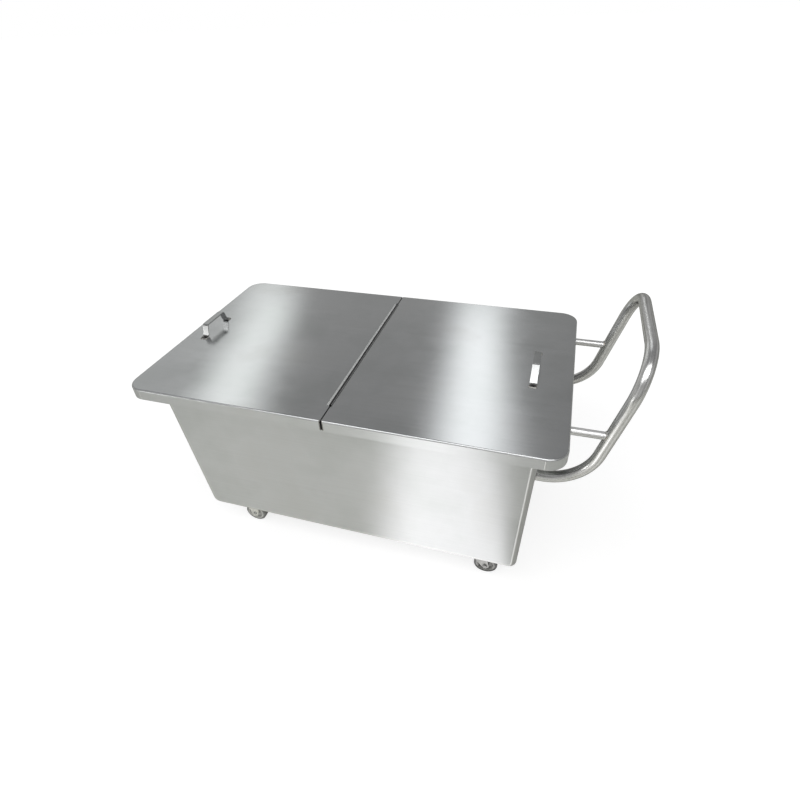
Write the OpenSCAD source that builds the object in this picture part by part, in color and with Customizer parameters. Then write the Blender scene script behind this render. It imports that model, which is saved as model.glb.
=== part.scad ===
// Stainless meat trolley bin: a bent-sheet tub on four casters with a folding two-part cover.
// Frame: X runs along the trolley with the push bar at +X, Y across it, Z up from the ground.
// The nose is the end away from the push bar. Left is the -Y side.

/* [Tub] */
// Outer length of the tub at its rim
tub_length = 1113; // [800:1:1500]
// Outer width of the tub
tub_width = 628; // [480:1:900]
// Depth from the rim's top to the floor's underside
tub_depth = 513; // [350:1:700]
// Slope of the nose wall from upright, in degrees
nose_slope = 6; // [1:0.5:12]
// Slope of the handle wall from upright, in degrees
handle_slope = 2; // [0.5:0.5:8]
// Thickness of the tub's sheet
sheet_t = 2; // [1:0.1:3]
// Outer radius of the bends between the floor and the end walls
floor_bend_r = 25; // [20:1:60]
// Outer radius of the turned edges that meet the side panels
edge_r = 14; // [8:0.5:17]

/* [Rim] */
// Height of the rim with its turned-down lip
lip_height = 32; // [24:1:50]
// Outer radius of the fold between the rim and its lip
rim_bend_r = 5; // [4:0.5:10]
// Gap between the lip and the inside of the cover's skirt
cover_clearance = 3; // [1.5:0.5:8]

/* [Cover] */
// How far the cover reaches past the tub's walls
cover_overhang = 61; // [45:1:90]
// Height of the cover from its top face to the skirt's edge
skirt_height = 34; // [26:1:60]
// Thickness of the cover's sheet
cover_t = 1.5; // [0.8:0.1:3]
// Plan radius of the cover's corners
cover_corner_r = 52; // [30:1:110]
// Outer radius of the fold between the top and the skirt
cover_bend_r = 5; // [3.5:0.5:9]
// Gap between the two halves past the ends of the hinge
seam_gap = 4; // [3:0.5:8]
// Room round each brace in the skirt's notch
notch_clearance = 5; // [3:0.5:8]

/* [Hinge] */
// Gap from each end of the hinge to the tub's inside
hinge_end_gap = 5; // [3:1:60]
// Number of knuckles on both leaves together
knuckles = 25; // [7:2:41]
// Outer diameter of the knuckles
knuckle_d = 8; // [7:0.5:12]
// Diameter of the hinge pin
hinge_pin_d = 3.2; // [2:0.1:4.2]
// Thickness of the hinge leaves
leaf_t = 1.2; // [0.8:0.1:1.5]
// Width of a leaf from the pin's axis to its edge
leaf_width = 32; // [20:1:60]
// Gap between neighbouring knuckles, and from knuckles to sheet edges
knuckle_gap = 0.6; // [0.4:0.1:1.5]

/* [Pull handles] */
// Distance between the nose pull's legs where they meet the feet
nose_pull_base = 116; // [100:1:180]
// Distance between the nose pull's legs at the grip
nose_pull_grip = 92; // [70:1:98]
// Distance between the handle pull's legs where they meet the feet
handle_pull_base = 156; // [100:1:180]
// Distance between the handle pull's legs at the grip
handle_pull_grip = 67; // [50:1:98]
// Height of the grips' tops over the cover
pull_height = 40; // [30:1:44]
// Length of each foot past its leg
pull_foot = 16; // [12:1:30]
// Width of the strap
strap_width = 20; // [14:1:30]
// Thickness of the strap
strap_t = 3; // [2:0.5:4]
// Middle radius of the strap's bends
strap_bend_r = 6; // [4:0.5:9]
// Distance from the cover's nose edge to the nose pull
nose_pull_inset = 66; // [50:1:80]
// Distance from the cover's handle edge to the handle pull
handle_pull_inset = 107; // [100:1:140]

/* [Push bar] */
// Outer diameter of the push bar's tube
bar_d = 32; // [24:0.5:40]
// Wall of the tubes
tube_wall = 1.5; // [1:0.1:3]
// Distance between the arms at the tub
arm_spacing = 466; // [380:1:480]
// Distance between the arms' top corners
bar_top_spacing = 436; // [360:1:480]
// Depth of the arms' roots below the rim
arm_drop = 186; // [150:1:240]
// Distance from the tub's end to the corner of the arm's bend
arm_reach = 118; // [116:1:160]
// Rise of the arms from level, in degrees
arm_angle = 76; // [60:1:80]
// Height of the crossbar's axis over the rim
bar_height = 187; // [170:1:320]
// Middle radius of the bends at the arms' roots
arm_bend_r = 136; // [80:1:138]
// Middle radius of the bends at the crossbar's ends
bar_bend_r = 115; // [60:1:120]
// Outer diameter of the braces
brace_d = 21; // [16:0.5:22]
// Depth of the braces' axes below the rim
brace_drop = 21; // [18:0.5:24]

/* [Casters] */
// Height of a caster from the ground to its plate's top
caster_height = 106; // [100:1:140]
// Diameter of the wheels
wheel_d = 75; // [60:1:80]
// Width of the tread
tread_width = 25; // [18:1:26]
// Thickness of the tread
tread_t = 7.5; // [4:0.5:10]
// Width of the wheel's hub
hub_width = 28; // [27:0.5:36]
// Outer diameter of the bush that the wheel turns on
bush_d = 12; // [11:0.5:16]
// Diameter of the axle bolts
axle_d = 8; // [6:0.5:9]
// Thickness of the forks
fork_t = 3; // [2:0.5:4]
// Gap between the hub and each fork leg
fork_gap = 1; // [0.5:0.5:2]
// Distance from a swivel's axis to its axle
trail = 28; // [20:1:36]
// Length of a caster's plate
plate_length = 96; // [92:1:120]
// Width of a caster's plate
plate_width = 70; // [68:1:90]
// Thickness of a caster's plate
plate_t = 3; // [2:0.5:5]
// Bolt spacing along the plate
bolt_spacing_x = 74; // [72:1:76]
// Bolt spacing across the plate
bolt_spacing_y = 50; // [48:1:52]
// Diameter of the plate's bolts
bolt_d = 8; // [6:0.5:8]
// Diameter of the kingpin that a fork swivels on
kingpin_d = 10; // [8:0.5:12]
// Diameter of the swivel's balls
ball_d = 5; // [4:0.5:5]
// Number of balls in a swivel
balls = 14; // [8:1:16]
// Radius of the ring of balls
race_r = 18; // [17:0.5:20]
// Thickness of the welded pads under the floor
pad_t = 4; // [3:0.5:8]
// Distance from the floor's end corners to the casters
caster_inset = 120; // [110:1:200]
// Distance from the tub's sides to the wheels' middles
caster_side_inset = 60; // [56:1:120]

/* [Clearances] */
// Radial clearance of a pin that turns in its hole
running_clearance = 0.05; // [0.02:0.01:0.1]
// Gap between balls and their grooves, and under the kingpin's head
race_clearance = 0.3; // [0.2:0.05:0.4]
// Radial clearance of a bolt in its hole
bolt_clearance = 0.2; // [0.1:0.1:0.5]
// Gap that a weld bridges between two tubes
weld_gap = 0.1; // [0.05:0.05:0.3]

/* [Hidden] */
$fn = 64;

// Heights
floor_z = caster_height + pad_t;
rim_z = floor_z + tub_depth;
cover_z = rim_z + cover_t;

// Plan sizes
cover_length = tub_length + 2 * cover_overhang;
cover_width = tub_width + 2 * cover_overhang;
skirt_to_lip = cover_t + cover_clearance;
rim_length = cover_length - 2 * skirt_to_lip;
rim_width = cover_width - 2 * skirt_to_lip;
reach = 3 * cover_length;

// Tub bends, as [x, z] from the middle of the tub
bend_z = floor_z + floor_bend_r;
nose_run = (tub_depth - floor_bend_r * (1 - sin(nose_slope))) / cos(nose_slope);
handle_run = (tub_depth - floor_bend_r * (1 - sin(handle_slope))) / cos(handle_slope);
nose_bend = [-tub_length / 2 + nose_run * sin(nose_slope) + floor_bend_r * cos(nose_slope), bend_z];
handle_bend = [tub_length / 2 - handle_run * sin(handle_slope) - floor_bend_r * cos(handle_slope), bend_z];
nose_normal = 180 + nose_slope;
handle_normal = 360 - handle_slope;
down_normal = 270;

// Push bar corners, from the middle of the tub
arm_z = rim_z - arm_drop;
bar_z = rim_z + bar_height;
arm_corner_x = tub_length / 2 + arm_reach;
bar_x = arm_corner_x + (bar_z - arm_z) / tan(arm_angle);
brace_z = rim_z - brace_drop;
brace_share = (brace_z - arm_z) / (bar_z - arm_z);
brace_y = arm_spacing / 2 + brace_share * (bar_top_spacing - arm_spacing) / 2;
brace_end_x = arm_corner_x + brace_share * (bar_x - arm_corner_x);

// Middle of the tub, which puts the origin under the middle of the whole trolley
tub_x = (cover_length / 2 - bar_x - bar_d / 2) / 2;

// Hinge
knuckle_r = knuckle_d / 2;
knuckle_sink = 0.1;
hinge_length = tub_width - 2 * (sheet_t + hinge_end_gap);
knuckle_pitch = hinge_length / knuckles;
hinge_z = rim_z - leaf_t + knuckle_r - knuckle_sink;
hinge_relief = knuckle_r + knuckle_gap;

// Pull handles, from the middle of the tub
nose_pull_x = nose_pull_inset - cover_length / 2;
handle_pull_x = cover_length / 2 - handle_pull_inset;

// Casters
nose_floor_x = -tub_length / 2 + tub_depth * tan(nose_slope);
handle_floor_x = tub_length / 2 - tub_depth * tan(handle_slope);
nose_caster_x = nose_floor_x + caster_inset;
handle_caster_x = handle_floor_x - caster_inset;
caster_y = tub_width / 2 - caster_side_inset;
axle_z = wheel_d / 2;
plate_z = caster_height - plate_t;
race_t = 3;
race_gap = 1.6;
crown_z = plate_z - race_t - race_gap;
ball_z = crown_z + race_gap / 2;
groove_r = ball_d / 2 + race_clearance;
crown_r = race_r + groove_r + 5;
fork_inside = hub_width + 2 * fork_gap;
fork_outside = fork_inside + 2 * fork_t;
eye_r = axle_d / 2 + 8;
kingpin_head_r = kingpin_d / 2 + 4;
kingpin_head_t = 4;
pad_margin = 4;
hex = 6;
axle_hex_d = axle_d * 1.8;
axle_head_t = axle_d * 0.65;
axle_nut_t = axle_d * 0.8;
bolt_hex_d = bolt_d * 1.8;
bolt_head_t = bolt_d * 0.65;

// Arcs are thinner than the straights they join by shy on each face, and run into them by lap
shy = 0.05;
lap = 0.3;

LEFT = -1;
RIGHT = 1;
STEEL = "silver";
DARK_STEEL = "dimgray";
RUBBER = "#3a3b3d";
NYLON = "#cfd0cb";

// Vectors and bent paths
function unit(v) = v / norm(v);
function turn(p, i) =
    let (u = unit(p[i] - p[i - 1]), w = unit(p[i + 1] - p[i])) atan2(norm(cross(u, w)), u * w);
function setback(p, r, i) = i <= 0 || i >= len(p) - 1 ? 0 : r * tan(turn(p, i) / 2);
function leg_start(p, r, i) = p[i] + unit(p[i + 1] - p[i]) * setback(p, r[i], i);
function leg_end(p, r, i) = p[i + 1] - unit(p[i + 1] - p[i]) * setback(p, r[i + 1], i + 1);
function tangent_point(p, c, r, side) =
    let (v = p - c, a = atan2(v[1], v[0]) + side * acos(r / norm(v))) c + r * [cos(a), sin(a)];

module at_tub() {
    translate([tub_x, 0, 0]) children();
}

// Puts children at p with their z along z and their x along x
module along(p, z, x) {
    y = cross(z, x);
    multmatrix([[x[0], y[0], z[0], p[0]],
                [x[1], y[1], z[1], p[1]],
                [x[2], y[2], z[2], p[2]],
                [0, 0, 0, 1]]) children();
}

// Sweeps sections along straight legs and arcs through the corners p with radii r: the first child
// for the legs, the second, which is a hair thinner, for the arcs that run a little way into them.
// A section's x points away from the inside of the turn.
module bent(p, r) {
    for (i = [0 : len(p) - 2]) {
        near = max(1, min(i, len(p) - 2));
        axis = unit(cross(p[near] - p[near - 1], p[near + 1] - p[near]));
        u = unit(p[i + 1] - p[i]);
        a = leg_start(p, r, i);
        along(a, u, -cross(axis, u)) linear_extrude(norm(leg_end(p, r, i) - a)) children(0);
    }
    for (i = [1 : len(p) - 2]) {
        u = unit(p[i] - p[i - 1]);
        axis = unit(cross(u, p[i + 1] - p[i]));
        out = -cross(axis, u);
        along(leg_end(p, r, i - 1) - out * r[i], axis, out) arc(r[i], turn(p, i)) children(1);
    }
}

// Turns a section at radius r through an angle, and a little past it at both ends
module arc(r, angle) {
    past = lap / r * 180 / PI;
    rotate([0, 0, -past]) rotate_extrude(angle = angle + 2 * past) translate([r, 0]) children();
}

module ring(d, wall) {
    difference() {
        circle(d = d);
        circle(d = d - 2 * wall);
    }
}

module rounded_rect(length, width, r) {
    square([length - 2 * r, width], center = true);
    square([length, width - 2 * r], center = true);
    for (sx = [-1, 1], sy = [-1, 1])
        translate([sx * (length / 2 - r), sy * (width / 2 - r)]) circle(r);
}

module quarter_ring(r, t) {
    intersection() {
        ring(2 * r, t);
        square(r);
    }
}

// An upside-down tray with a rounded fold round its top, which lies at z = 0
module folded_pan(length, width, corner_r, bend_r, height, t) {
    module fold() {
        translate([-bend_r, -bend_r]) quarter_ring(bend_r, t);
        translate([-t, -height]) square([t, height - bend_r]);
    }
    translate([0, 0, -t])
        linear_extrude(t) rounded_rect(length - 2 * bend_r, width - 2 * bend_r, corner_r - bend_r);
    for (k = [0 : 3]) {
        half = (k % 2 == 0 ? length : width) / 2;
        side = (k % 2 == 0 ? width : length) / 2 - corner_r;
        rotate([0, 0, 90 * k]) {
            translate([half, side, 0]) rotate([90, 0, 0]) linear_extrude(2 * side) fold();
            translate([half - corner_r, side, 0])
                rotate_extrude(angle = 90) translate([corner_r, 0]) fold();
        }
    }
}

// Section of the tub's wrap: outer face at x = 0, both edges turned towards -x, all thinner by inset
module wrap_section(inset = 0) {
    flat = tub_width / 2 - edge_r;
    translate([inset - sheet_t, -flat]) square([sheet_t - 2 * inset, 2 * flat]);
    for (side = [-1, 1])
        translate([-edge_r, side * flat]) mirror([0, side < 0 ? 1 : 0]) intersection() {
            ring(2 * (edge_r - inset), sheet_t - 2 * inset);
            translate([inset, 0]) square(edge_r);
        }
}

// Turns x towards the given direction about the point c of the tub's long section
module at_bend(c, angle) {
    translate([c[0], 0, c[1]]) rotate([90, 0, 0]) rotate([0, 0, angle]) children();
}

module wrap_leg(c, angle, run, way) {
    at_bend(c, angle)
        translate([floor_bend_r, 0, 0]) rotate([way * 90, 0, 0]) linear_extrude(run) wrap_section();
}

module wrap_bend(c, angle, sweep) {
    at_bend(c, angle) arc(floor_bend_r, sweep) wrap_section(shy);
}

module tub_wrap() {
    color(STEEL) at_tub() difference() {
        union() {
            wrap_leg(nose_bend, nose_normal, nose_run + floor_bend_r, 1);
            wrap_bend(nose_bend, nose_normal, down_normal - nose_normal);
            wrap_leg(handle_bend, down_normal, handle_bend[0] - nose_bend[0], 1);
            wrap_bend(handle_bend, down_normal, handle_normal - down_normal);
            wrap_leg(handle_bend, handle_normal, handle_run + floor_bend_r, -1);
        }
        translate([-reach / 2, -reach / 2, rim_z - sheet_t]) cube([reach, reach, reach]);
    }
}

// Flat side between the turned edges of the wrap
module panel_outline() {
    r = floor_bend_r - edge_r;
    top = rim_z - sheet_t;
    function on(c, angle) = c + r * [cos(angle), sin(angle)];
    function up(p, lean) = [p[0] + lean * (top - p[1]), top];
    nose_low = on(nose_bend, nose_normal);
    handle_low = on(handle_bend, handle_normal);
    polygon([up(nose_low, -tan(nose_slope)), nose_low, on(nose_bend, down_normal),
             on(handle_bend, down_normal), handle_low, up(handle_low, tan(handle_slope))]);
    translate(nose_bend) circle(r);
    translate(handle_bend) circle(r);
}

module side_panel(side) {
    face_y = side == LEFT ? sheet_t - tub_width / 2 : tub_width / 2;
    color(STEEL) at_tub()
        translate([0, face_y, 0]) rotate([90, 0, 0]) linear_extrude(sheet_t) panel_outline();
}

module rim_flange() {
    corner_r = cover_corner_r - skirt_to_lip;
    color(STEEL) at_tub() translate([0, 0, rim_z]) difference() {
        folded_pan(rim_length, rim_width, corner_r, rim_bend_r, lip_height, sheet_t);
        translate([0, 0, -2 * sheet_t]) linear_extrude(4 * sheet_t)
            rounded_rect(tub_length - 2 * sheet_t, tub_width - 2 * sheet_t, edge_r - sheet_t);
    }
}

module push_bar() {
    root = [tub_length / 2 - bar_d, arm_spacing / 2, arm_z];
    corner = [arm_corner_x, arm_spacing / 2, arm_z];
    top = [bar_x, bar_top_spacing / 2, bar_z];
    function left(p) = [p[0], -p[1], p[2]];
    color(STEEL) at_tub() difference() {
        bent([left(root), left(corner), left(top), top, corner, root],
             [0, arm_bend_r, bar_bend_r, bar_bend_r, arm_bend_r, 0]) {
            ring(bar_d, tube_wall);
            ring(bar_d - 2 * shy, tube_wall - 2 * shy);
        }
        translate([tub_length / 2, 0, rim_z]) rotate([0, handle_slope, 0])
            translate([-reach, -reach / 2, -reach]) cube([reach, reach, 2 * reach]);
    }
}

module brace(side) {
    start_x = rim_length / 2;
    corner = [arm_corner_x, side * arm_spacing / 2, arm_z];
    top = [bar_x, side * bar_top_spacing / 2, bar_z];
    color(STEEL) at_tub() difference() {
        translate([start_x, side * brace_y, brace_z]) rotate([0, 90, 0])
            linear_extrude(brace_end_x - start_x) ring(brace_d, tube_wall);
        along(corner, unit(top - corner), unit(cross([0, 1, 0], top - corner)))
            cylinder(h = norm(top - corner), d = bar_d + 2 * weld_gap);
    }
}

// One half of the cover, cut from the whole pan at the seam
module lid_half(side) {
    translate([0, 0, cover_z]) difference() {
        folded_pan(cover_length, cover_width, cover_corner_r, cover_bend_r, skirt_height, cover_t);
        translate([side < 0 ? -seam_gap / 2 : seam_gap / 2 - reach, -reach / 2, -reach / 2])
            cube([reach, reach, reach]);
        translate([-hinge_relief, -hinge_length / 2 - knuckle_gap, -2 * cover_t])
            cube([2 * hinge_relief, hinge_length + 2 * knuckle_gap, 4 * cover_t]);
    }
}

module nose_lid_pan() {
    color(STEEL) at_tub() lid_half(-1);
}

// The braces pass through open notches in the end skirt
module handle_lid_pan() {
    notch_r = brace_d / 2 + notch_clearance;
    color(STEEL) at_tub() difference() {
        lid_half(1);
        for (side = [LEFT, RIGHT])
            translate([cover_length / 2 - 2 * skirt_to_lip, side * brace_y, brace_z]) {
                rotate([0, 90, 0]) cylinder(h = 4 * skirt_to_lip, r = notch_r);
                translate([0, -notch_r, -skirt_height])
                    cube([4 * skirt_to_lip, 2 * notch_r, skirt_height]);
            }
    }
}

// A piano-hinge leaf under one half of the cover; first is the number of its first knuckle
module hinge_leaf(side, first) {
    leaf_z = rim_z - leaf_t;
    plate = leaf_width - hinge_relief;
    function from_axis(near, far) = side < 0 ? -far : near;
    color(STEEL) at_tub() difference() {
        union() {
            translate([from_axis(hinge_relief, leaf_width), -hinge_length / 2, leaf_z])
                cube([plate, hinge_length, leaf_t]);
            for (k = [first : 2 : knuckles - 1])
                translate([0, -hinge_length / 2 + k * knuckle_pitch + knuckle_gap / 2, 0]) {
                    translate([from_axis(0, hinge_relief), 0, leaf_z])
                        cube([hinge_relief, knuckle_pitch - knuckle_gap, leaf_t]);
                    translate([0, 0, hinge_z]) rotate([-90, 0, 0])
                        cylinder(h = knuckle_pitch - knuckle_gap, r = knuckle_r);
                }
        }
        translate([0, -hinge_length, hinge_z]) rotate([-90, 0, 0])
            cylinder(h = 2 * hinge_length, d = hinge_pin_d + 2 * running_clearance);
    }
}

module hinge_pin() {
    color(STEEL) at_tub() translate([0, -hinge_length / 2, hinge_z]) rotate([-90, 0, 0])
        cylinder(h = hinge_length, d = hinge_pin_d);
}

// A strap bent up into a grip, with a foot at each end
module pull(x, base, grip) {
    low = strap_t / 2;
    high = pull_height - strap_t / 2;
    function at(y, z) = [x, y, cover_z + z];
    end = base / 2 + pull_foot;
    color(STEEL) at_tub()
        bent([at(-end, low), at(-base / 2, low), at(-grip / 2, high),
              at(grip / 2, high), at(base / 2, low), at(end, low)],
             [0, strap_bend_r, strap_bend_r, strap_bend_r, strap_bend_r, 0]) {
            square([strap_t, strap_width], center = true);
            square([strap_t - 2 * shy, strap_width - 2 * shy], center = true);
        }
}

// Casters
module at_caster(end_x, side) {
    at_tub() translate([end_x, side * caster_y, 0]) children();
}

module at_bolts() {
    for (sx = [-1, 1], sy = [-1, 1])
        translate([sx * bolt_spacing_x / 2, sy * bolt_spacing_y / 2, 0]) children();
}

module at_all_casters() {
    for (end_x = [nose_caster_x, handle_caster_x], side = [LEFT, RIGHT]) at_caster(end_x, side) children();
}

module caster_pads() {
    color(STEEL) at_all_casters() difference() {
        translate([0, 0, caster_height]) linear_extrude(pad_t)
            square([plate_length + 2 * pad_margin, plate_width + 2 * pad_margin], center = true);
        at_bolts() cylinder(h = 2 * floor_z, d = bolt_d + 2 * bolt_clearance);
    }
}

module caster_bolts() {
    color(DARK_STEEL) at_all_casters() at_bolts() {
        translate([0, 0, plate_z - bolt_head_t]) cylinder(h = bolt_head_t, d = bolt_hex_d, $fn = hex);
        translate([0, 0, plate_z]) cylinder(h = floor_z - plate_z, d = bolt_d);
    }
}

module plate() {
    difference() {
        translate([0, 0, plate_z]) linear_extrude(plate_t) rounded_rect(plate_length, plate_width, pad_margin);
        at_bolts() cylinder(h = 2 * floor_z, d = bolt_d + 2 * bolt_clearance);
    }
}

// A strap bent into a U over the wheel and trimmed to legs that taper to the axle's eye
module fork_body(top_z, back_x, front_x, axle_x) {
    mid = (fork_inside + fork_t) / 2;
    shoulder = top_z - 3 * fork_t;
    eye = [axle_x, axle_z];
    difference() {
        intersection() {
            bent([[0, -mid, 0], [0, -mid, top_z - fork_t / 2], [0, mid, top_z - fork_t / 2], [0, mid, 0]],
                 [0, fork_t, fork_t, 0]) {
                square([fork_t, 2 * plate_length], center = true);
                square([fork_t - 2 * shy, 2 * plate_length], center = true);
            }
            translate([0, fork_outside, 0]) rotate([90, 0, 0]) linear_extrude(2 * fork_outside) {
                polygon([[back_x, top_z + fork_t], [front_x, top_z + fork_t], [front_x, shoulder],
                         tangent_point([front_x, shoulder], eye, eye_r, -1),
                         tangent_point([back_x, shoulder], eye, eye_r, 1), [back_x, shoulder]]);
                translate(eye) circle(eye_r);
            }
        }
        translate([axle_x, -fork_outside, axle_z]) rotate([-90, 0, 0])
            cylinder(h = 2 * fork_outside, d = axle_d + 2 * bolt_clearance);
    }
}

// The fork's bridge is let half into its plate
module rigid_fork() {
    half = bolt_spacing_x / 2 - bolt_hex_d / 2 - fork_t;
    color(DARK_STEEL) {
        plate();
        fork_body(plate_z + plate_t / 2, -half, half, 0);
    }
}

module ball_groove() {
    translate([0, 0, ball_z]) rotate_extrude() translate([race_r, 0]) circle(groove_r);
}

module swivel_plate() {
    color(DARK_STEEL) difference() {
        union() {
            plate();
            translate([0, 0, plate_z - race_t]) cylinder(h = race_t, r = crown_r);
        }
        ball_groove();
        cylinder(h = 2 * floor_z, d = kingpin_d + 2 * running_clearance);
    }
}

module kingpin() {
    color(DARK_STEEL) {
        translate([0, 0, crown_z - fork_t - race_clearance - kingpin_head_t])
            cylinder(h = kingpin_head_t, r = kingpin_head_r);
        translate([0, 0, crown_z - fork_t - race_clearance])
            cylinder(h = caster_height - crown_z + fork_t + race_clearance, d = kingpin_d);
    }
}

module swivel_balls() {
    color(STEEL) for (k = [0 : balls - 1])
        rotate([0, 0, 360 * k / balls]) translate([race_r, 0, ball_z]) sphere(d = ball_d);
}

module swivel_fork() {
    color(DARK_STEEL) difference() {
        union() {
            fork_body(crown_z, -crown_r, crown_r, trail);
            translate([0, 0, crown_z - fork_t]) cylinder(h = fork_t, r = crown_r);
        }
        ball_groove();
        cylinder(h = 2 * floor_z, d = kingpin_d + 2 * running_clearance);
    }
}

// Wheels, with the axle along Y
module at_wheel(end_x, side) {
    axle_x = end_x == handle_caster_x ? trail : 0;
    at_caster(end_x, side) translate([axle_x, 0, axle_z]) rotate([90, 0, 0]) children();
}

module tread() {
    edge = tread_t / 2;
    outer = wheel_d / 2;
    color(RUBBER) rotate_extrude() {
        translate([outer - tread_t, -tread_width / 2]) square([tread_t - edge, tread_width]);
        translate([outer - edge, edge - tread_width / 2]) square([edge, tread_width - 2 * edge]);
        for (s = [-1, 1])
            translate([outer - edge, s * (tread_width / 2 - edge)]) circle(edge);
    }
}

module core() {
    outer = wheel_d / 2 - tread_t;
    bore = bush_d / 2 + running_clearance;
    hub_r = bush_d / 2 + 6;
    felloe = 5;
    web = tread_width / 3;
    color(NYLON) rotate_extrude() {
        translate([bore, -hub_width / 2]) square([hub_r - bore, hub_width]);
        translate([hub_r, -web / 2]) square([outer - felloe - hub_r, web]);
        translate([outer - felloe, -tread_width / 2]) square([felloe, tread_width]);
    }
}

module bush() {
    color(STEEL) translate([0, 0, -fork_inside / 2]) linear_extrude(fork_inside)
        ring(bush_d, (bush_d - axle_d) / 2 - bolt_clearance);
}

module axle() {
    tip = axle_nut_t + 2;
    color(STEEL) {
        translate([0, 0, fork_outside / 2]) cylinder(h = axle_head_t, d = axle_hex_d, $fn = hex);
        translate([0, 0, -fork_outside / 2 - tip]) cylinder(h = fork_outside + tip, d = axle_d);
    }
}

module nut() {
    color(STEEL) translate([0, 0, -fork_outside / 2 - axle_nut_t]) difference() {
        cylinder(h = axle_nut_t, d = axle_hex_d, $fn = hex);
        translate([0, 0, -axle_nut_t]) cylinder(h = 3 * axle_nut_t, d = axle_d + 2 * running_clearance);
    }
}

tub_wrap();
side_panel(LEFT);  // left_side_panel
side_panel(RIGHT);  // right_side_panel
rim_flange();
push_bar();
brace(LEFT);  // left_brace
brace(RIGHT);  // right_brace
nose_lid_pan();
handle_lid_pan();
hinge_leaf(-1, 0);  // nose_hinge_leaf
hinge_leaf(1, 1);  // handle_hinge_leaf
hinge_pin();
pull(nose_pull_x, nose_pull_base, nose_pull_grip);  // nose_pull
pull(handle_pull_x, handle_pull_base, handle_pull_grip);  // handle_pull
caster_pads();
caster_bolts();
at_caster(nose_caster_x, LEFT) rigid_fork();  // nose_left_fork
at_caster(nose_caster_x, RIGHT) rigid_fork();  // nose_right_fork
at_caster(handle_caster_x, LEFT) swivel_plate();  // handle_left_plate
at_caster(handle_caster_x, RIGHT) swivel_plate();  // handle_right_plate
at_caster(handle_caster_x, LEFT) kingpin();  // handle_left_kingpin
at_caster(handle_caster_x, RIGHT) kingpin();  // handle_right_kingpin
at_caster(handle_caster_x, LEFT) swivel_balls();  // handle_left_balls
at_caster(handle_caster_x, RIGHT) swivel_balls();  // handle_right_balls
at_caster(handle_caster_x, LEFT) swivel_fork();  // handle_left_fork
at_caster(handle_caster_x, RIGHT) swivel_fork();  // handle_right_fork
at_wheel(nose_caster_x, LEFT) tread();  // nose_left_tread
at_wheel(nose_caster_x, LEFT) core();  // nose_left_core
at_wheel(nose_caster_x, LEFT) bush();  // nose_left_bush
at_wheel(nose_caster_x, LEFT) axle();  // nose_left_axle
at_wheel(nose_caster_x, LEFT) nut();  // nose_left_nut
at_wheel(nose_caster_x, RIGHT) tread();  // nose_right_tread
at_wheel(nose_caster_x, RIGHT) core();  // nose_right_core
at_wheel(nose_caster_x, RIGHT) bush();  // nose_right_bush
at_wheel(nose_caster_x, RIGHT) axle();  // nose_right_axle
at_wheel(nose_caster_x, RIGHT) nut();  // nose_right_nut
at_wheel(handle_caster_x, LEFT) tread();  // handle_left_tread
at_wheel(handle_caster_x, LEFT) core();  // handle_left_core
at_wheel(handle_caster_x, LEFT) bush();  // handle_left_bush
at_wheel(handle_caster_x, LEFT) axle();  // handle_left_axle
at_wheel(handle_caster_x, LEFT) nut();  // handle_left_nut
at_wheel(handle_caster_x, RIGHT) tread();  // handle_right_tread
at_wheel(handle_caster_x, RIGHT) core();  // handle_right_core
at_wheel(handle_caster_x, RIGHT) bush();  // handle_right_bush
at_wheel(handle_caster_x, RIGHT) axle();  // handle_right_axle
at_wheel(handle_caster_x, RIGHT) nut();  // handle_right_nut
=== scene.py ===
import math

import bmesh
import bpy
from mathutils import Matrix, Vector


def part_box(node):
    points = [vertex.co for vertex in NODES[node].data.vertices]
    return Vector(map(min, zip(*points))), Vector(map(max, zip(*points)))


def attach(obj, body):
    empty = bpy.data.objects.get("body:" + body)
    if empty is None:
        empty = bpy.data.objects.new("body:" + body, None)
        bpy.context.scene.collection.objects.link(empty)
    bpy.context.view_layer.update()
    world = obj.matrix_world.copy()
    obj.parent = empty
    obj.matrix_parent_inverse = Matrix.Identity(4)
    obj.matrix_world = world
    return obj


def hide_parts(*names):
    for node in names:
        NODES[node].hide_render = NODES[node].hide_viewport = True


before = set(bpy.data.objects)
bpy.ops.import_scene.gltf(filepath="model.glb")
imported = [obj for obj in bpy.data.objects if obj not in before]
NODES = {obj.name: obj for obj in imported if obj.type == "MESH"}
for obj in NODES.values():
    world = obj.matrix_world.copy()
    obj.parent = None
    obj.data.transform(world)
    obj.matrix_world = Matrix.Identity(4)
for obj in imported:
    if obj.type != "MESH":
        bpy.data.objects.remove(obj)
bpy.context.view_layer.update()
SCENE = bpy.context.scene
MM = 0.001
SIDES = {"left": -1, "right": 1}
ENDS = {"nose": -1, "handle": 1}


def node_box(name):
    """Lowest and highest corner of a CAD node at rest, in millimetres."""
    return [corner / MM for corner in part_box(name)]


# Sizes as in the CAD, in millimetres
TUB_LENGTH = 1113.0
EDGE_R = 14.0
BEND_R = 25.0
SLOPE = {"nose": math.radians(6), "handle": math.radians(2)}
COVER_CORNER_R = 52.0
BAR_D = 32.0
ARM_SPACING = 466.0
BAR_TOP_SPACING = 436.0
ARM_DROP = 186.0
BAR_HEIGHT = 187.0
ARM_REACH = 118.0
ARM_ANGLE = math.radians(76)
ARM_BEND_R = 136.0
BAR_BEND_R = 115.0
PAD_HALF_X = 52.0
PAD_HALF_Y = 39.0

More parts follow.
